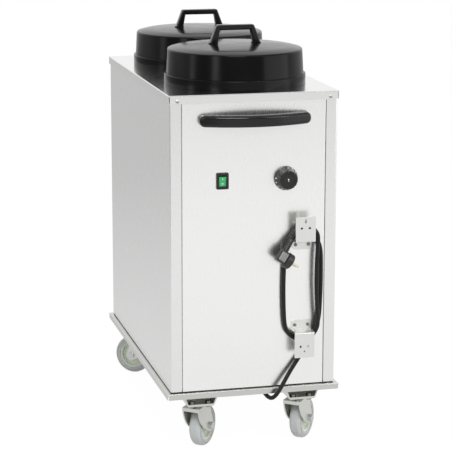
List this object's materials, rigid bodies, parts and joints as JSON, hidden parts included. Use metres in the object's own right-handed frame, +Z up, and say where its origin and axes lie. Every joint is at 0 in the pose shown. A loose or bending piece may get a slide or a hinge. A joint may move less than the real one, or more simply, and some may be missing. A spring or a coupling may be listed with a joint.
{
  "type": "heated plate dispenser",
  "caption": "Mobile heated plate dispenser: stainless cabinet on swivel castors, sprung plate wells under black lids, bow handle, lit switch, thermostat knob and wound mains lead.",
  "frame": {"origin": "on the floor, under the middle of the footprint of the object without its lead and plug", "axes": "+X to the right seen from the front, -Y the front with the controls, +Z up"},
  "size_m": [0.416, 0.8045, 0.9962],
  "materials": {
    "stainless_sheet": "satin",
    "stainless_top": "polished",
    "stainless_inner": "plain",
    "rivet_steel": "satin",
    "seal_rubber": "matt",
    "lid_plastic": "gloss",
    "grip_plastic": "gloss",
    "platform_steel": "satin",
    "spring_steel": "plain",
    "heater_sheath": "oxidised",
    "switch_plastic": "satin",
    "rocker_lens": "translucent, lit",
    "knob_plastic": "satin",
    "inner_plastic": "matt",
    "bracket_steel": "satin",
    "screw_steel": "plain",
    "cord_sheath": "matt",
    "plug_rubber": "satin",
    "pin_metal": "bright",
    "zinc_plate": "zinc plated",
    "wheel_hub": "moulded",
    "wheel_tyre": "matt grey"
  },
  "bodies": {
    "cabinet": {"base_tray": "stainless_sheet", "base_seal": "seal_rubber", "side_panel_right": "stainless_sheet", "side_panel_left": "stainless_sheet", "front_panel": "stainless_sheet", "rear_panel": "stainless_sheet", "top_cover": "stainless_top", "cover_rivets": "rivet_steel", "inner_deck": "stainless_inner", "plate_guides": "spring_steel", "heating_elements": "heater_sheath", "push_handle": "grip_plastic", "push_handle_screws": "screw_steel", "switch_housing": "switch_plastic", "thermostat_body": "inner_plastic", "cord_bracket_upper": "bracket_steel", "cord_bracket_lower": "bracket_steel", "cord_bracket_screws": "screw_steel", "terminal_box": "inner_plastic", "cord_gland": "inner_plastic", "cord_lead": "cord_sheath", "cord_winding": "cord_sheath", "plug_body": "plug_rubber", "plug_pins": "pin_metal", "castor_channels": "zinc_plate", "castor_plates": "zinc_plate", "castor_bolts": "screw_steel", "well_front": "stainless_inner", "platform_spring_front": "spring_steel", "well_rear": "stainless_inner", "platform_spring_rear": "spring_steel"},
    "lid_front": {"lid_front": "lid_plastic", "lid_handle_front": "grip_plastic", "lid_screws_front": "screw_steel"},
    "platform_front": {"platform_front": "platform_steel"},
    "lid_rear": {"lid_rear": "lid_plastic", "lid_handle_rear": "grip_plastic", "lid_screws_rear": "screw_steel"},
    "platform_rear": {"platform_rear": "platform_steel"},
    "thermostat_knob": {"thermostat_knob": "knob_plastic", "thermostat_shaft": "screw_steel"},
    "switch_rocker": {"switch_rocker": "rocker_lens"},
    "fork_front_left": {"castor_fork_front_left": "zinc_plate", "castor_axle_front_left": "screw_steel"},
    "wheel_front_left": {"wheel_hub_front_left": "wheel_hub", "wheel_tyre_front_left": "wheel_tyre"},
    "fork_front_right": {"castor_fork_front_right": "zinc_plate", "castor_axle_front_right": "screw_steel"},
    "wheel_front_right": {"wheel_hub_front_right": "wheel_hub", "wheel_tyre_front_right": "wheel_tyre"},
    "fork_rear_left": {"castor_fork_rear_left": "zinc_plate", "castor_axle_rear_left": "screw_steel"},
    "wheel_rear_left": {"wheel_hub_rear_left": "wheel_hub", "wheel_tyre_rear_left": "wheel_tyre"},
    "fork_rear_right": {"castor_fork_rear_right": "zinc_plate", "castor_axle_rear_right": "screw_steel"},
    "wheel_rear_right": {"wheel_hub_rear_right": "wheel_hub", "wheel_tyre_rear_right": "wheel_tyre"}
  },
  "joints": [
    {"name": "lid_front_lift", "type": "slide", "parent": "cabinet", "child": "lid_front", "axis": [0, 0, 1], "range_m": [0, 0.3]},
    {"name": "lid_rear_lift", "type": "slide", "parent": "cabinet", "child": "lid_rear", "axis": [0, 0, 1], "range_m": [0, 0.3]},
    {"name": "platform_front_travel", "type": "slide", "parent": "cabinet", "child": "platform_front", "axis": [0, 0, 1], "range_m": [-0.45, 0], "stiffness_N_per_m": 650, "springref_m": 0.06, "deforming": ["platform_spring_front"]},
    {"name": "platform_rear_travel", "type": "slide", "parent": "cabinet", "child": "platform_rear", "axis": [0, 0, 1], "range_m": [-0.45, 0], "stiffness_N_per_m": 650, "springref_m": 0.06, "deforming": ["platform_spring_rear"]},
    {"name": "thermostat_turn", "type": "hinge", "parent": "cabinet", "child": "thermostat_knob", "pos_m": [0.0755, -0.367, 0.658], "axis": [0, 1, 0], "range_deg": [0, 270]},
    {"name": "switch_rock", "type": "hinge", "parent": "cabinet", "child": "switch_rocker", "pos_m": [-0.0755, -0.3485, 0.658], "axis": [1, 0, 0], "range_deg": [-16, 0]},
    {"name": "castor_swivel_front_left", "type": "hinge", "parent": "cabinet", "child": "fork_front_left", "pos_m": [-0.124, -0.3005, 0.11], "axis": [0, 0, 1], "continuous": true},
    {"name": "wheel_spin_front_left", "type": "hinge", "parent": "fork_front_left", "child": "wheel_front_left", "pos_m": [-0.10553, -0.27686, 0.05], "axis": [-0.788, 0.6157, 0], "continuous": true},
    {"name": "castor_swivel_front_right", "type": "hinge", "parent": "cabinet", "child": "fork_front_right", "pos_m": [0.124, -0.3005, 0.11], "axis": [0, 0, 1], "continuous": true},
    {"name": "wheel_spin_front_right", "type": "hinge", "parent": "fork_front_right", "child": "wheel_front_right", "pos_m": [0.14247, -0.27686, 0.05], "axis": [-0.788, 0.6157, 0], "continuous": true},
    {"name": "castor_swivel_rear_left", "type": "hinge", "parent": "cabinet", "child": "fork_rear_left", "pos_m": [-0.124, 0.3385, 0.11], "axis": [0, 0, 1], "continuous": true},
    {"name": "wheel_spin_rear_left", "type": "hinge", "parent": "fork_rear_left", "child": "wheel_rear_left", "pos_m": [-0.14858, 0.35571, 0.05], "axis": [-0.5736, -0.8192, 0], "continuous": true},
    {"name": "castor_swivel_rear_right", "type": "hinge", "parent": "cabinet", "child": "fork_rear_right", "pos_m": [0.124, 0.3385, 0.11], "axis": [0, 0, 1], "continuous": true},
    {"name": "wheel_spin_rear_right", "type": "hinge", "parent": "fork_rear_right", "child": "wheel_rear_right", "pos_m": [0.09942, 0.32129, 0.05], "axis": [0.5736, -0.8192, 0], "continuous": true}
  ]
}
